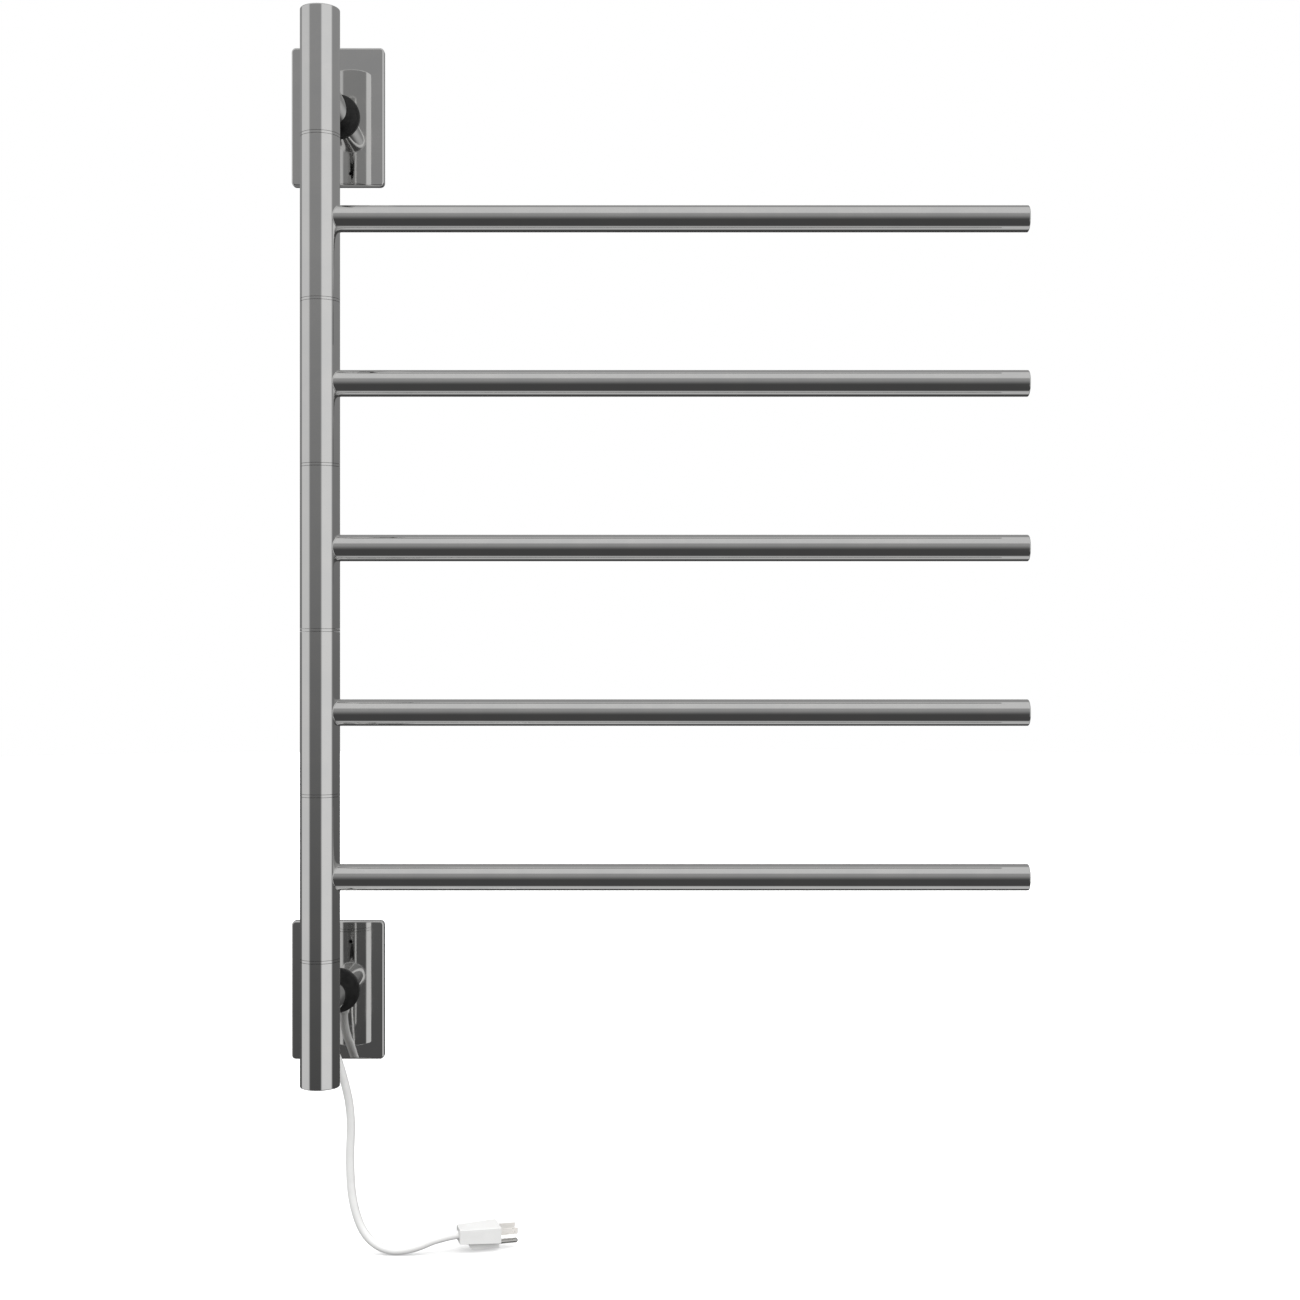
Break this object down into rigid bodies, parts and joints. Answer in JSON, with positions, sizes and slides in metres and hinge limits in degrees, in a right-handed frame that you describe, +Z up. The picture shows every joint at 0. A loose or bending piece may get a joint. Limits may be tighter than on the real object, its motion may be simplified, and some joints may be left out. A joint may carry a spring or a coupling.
{
  "type": "towel warmer rack",
  "caption": "Wall-hung electric towel warmer: a chromed post on two wall brackets carries heated bars that swivel about it.",
  "frame": {"origin": "centre of the four wall screws, in the plane of the wall, level with the middle bar and in line with the post", "axes": "+X along the bars at rest, +Y into the wall, +Z up along the post"},
  "size_m": [0.727, 0.125, 1.2143],
  "materials": {
    "polished_chrome": "polished chrome plate",
    "zinc_steel": "zinc-plated steel",
    "black_rubber": "matte moulded rubber",
    "black_oxide": "black oxide on steel",
    "nylon": "natural nylon",
    "heater_sheath": "stainless sheath",
    "wire_jacket": "silicone jacket",
    "block_plastic": "moulded plastic",
    "cutout_can": "drawn can",
    "white_vinyl": "smooth white vinyl",
    "plug_vinyl": "moulded white vinyl",
    "plug_metal": "nickel-plated brass"
  },
  "bodies": {
    "root": {"upper_base_plate": "zinc_steel", "upper_cover_plate": "polished_chrome", "upper_gasket": "black_rubber", "upper_stub": "polished_chrome", "lower_base_plate": "zinc_steel", "lower_cover_plate": "polished_chrome", "lower_gasket": "black_rubber", "lower_stub": "polished_chrome", "upper_post_tube": "polished_chrome", "upper_post_cap": "polished_chrome", "lower_post_tube": "polished_chrome", "lower_post_cap": "polished_chrome", "core_tube": "zinc_steel", "core_collars": "zinc_steel", "set_screws": "black_oxide", "spacer_ring_1": "polished_chrome", "spacer_ring_2": "polished_chrome", "spacer_ring_3": "polished_chrome", "spacer_ring_4": "polished_chrome", "spacer_ring_5": "polished_chrome", "spacer_ring_6": "polished_chrome", "terminal_block": "block_plastic", "thermal_cutout": "cutout_can", "core_wiring": "wire_jacket", "cord_strain_relief": "white_vinyl", "power_cord": "white_vinyl", "plug_body": "plug_vinyl", "plug_blades": "plug_metal", "plug_ground_pin": "plug_metal"},
    "arm_1": {"arm_1_sleeve": "polished_chrome", "arm_1_bar": "polished_chrome", "arm_1_end_cap": "polished_chrome", "arm_1_bushes": "nylon", "arm_1_heater": "heater_sheath", "arm_1_leads": "wire_jacket"},
    "arm_2": {"arm_2_sleeve": "polished_chrome", "arm_2_bar": "polished_chrome", "arm_2_end_cap": "polished_chrome", "arm_2_bushes": "nylon", "arm_2_heater": "heater_sheath", "arm_2_leads": "wire_jacket"},
    "arm_3": {"arm_3_sleeve": "polished_chrome", "arm_3_bar": "polished_chrome", "arm_3_end_cap": "polished_chrome", "arm_3_bushes": "nylon", "arm_3_heater": "heater_sheath", "arm_3_leads": "wire_jacket"},
    "arm_4": {"arm_4_sleeve": "polished_chrome", "arm_4_bar": "polished_chrome", "arm_4_end_cap": "polished_chrome", "arm_4_bushes": "nylon", "arm_4_heater": "heater_sheath", "arm_4_leads": "wire_jacket"},
    "arm_5": {"arm_5_sleeve": "polished_chrome", "arm_5_bar": "polished_chrome", "arm_5_end_cap": "polished_chrome", "arm_5_bushes": "nylon", "arm_5_heater": "heater_sheath", "arm_5_leads": "wire_jacket"}
  },
  "joints": [
    {"name": "arm_1_swivel", "type": "hinge", "parent": "root", "child": "arm_1", "pos_m": [0, -0.106, -0.316], "axis": [0, 0, -1], "range_deg": [0, 180]},
    {"name": "arm_2_swivel", "type": "hinge", "parent": "root", "child": "arm_2", "pos_m": [0, -0.106, -0.158], "axis": [0, 0, -1], "range_deg": [0, 180]},
    {"name": "arm_3_swivel", "type": "hinge", "parent": "root", "child": "arm_3", "pos_m": [0, -0.106, 0], "axis": [0, 0, -1], "range_deg": [0, 180]},
    {"name": "arm_4_swivel", "type": "hinge", "parent": "root", "child": "arm_4", "pos_m": [0, -0.106, 0.158], "axis": [0, 0, -1], "range_deg": [0, 180]},
    {"name": "arm_5_swivel", "type": "hinge", "parent": "root", "child": "arm_5", "pos_m": [0, -0.106, 0.316], "axis": [0, 0, -1], "range_deg": [0, 180]}
  ]
}
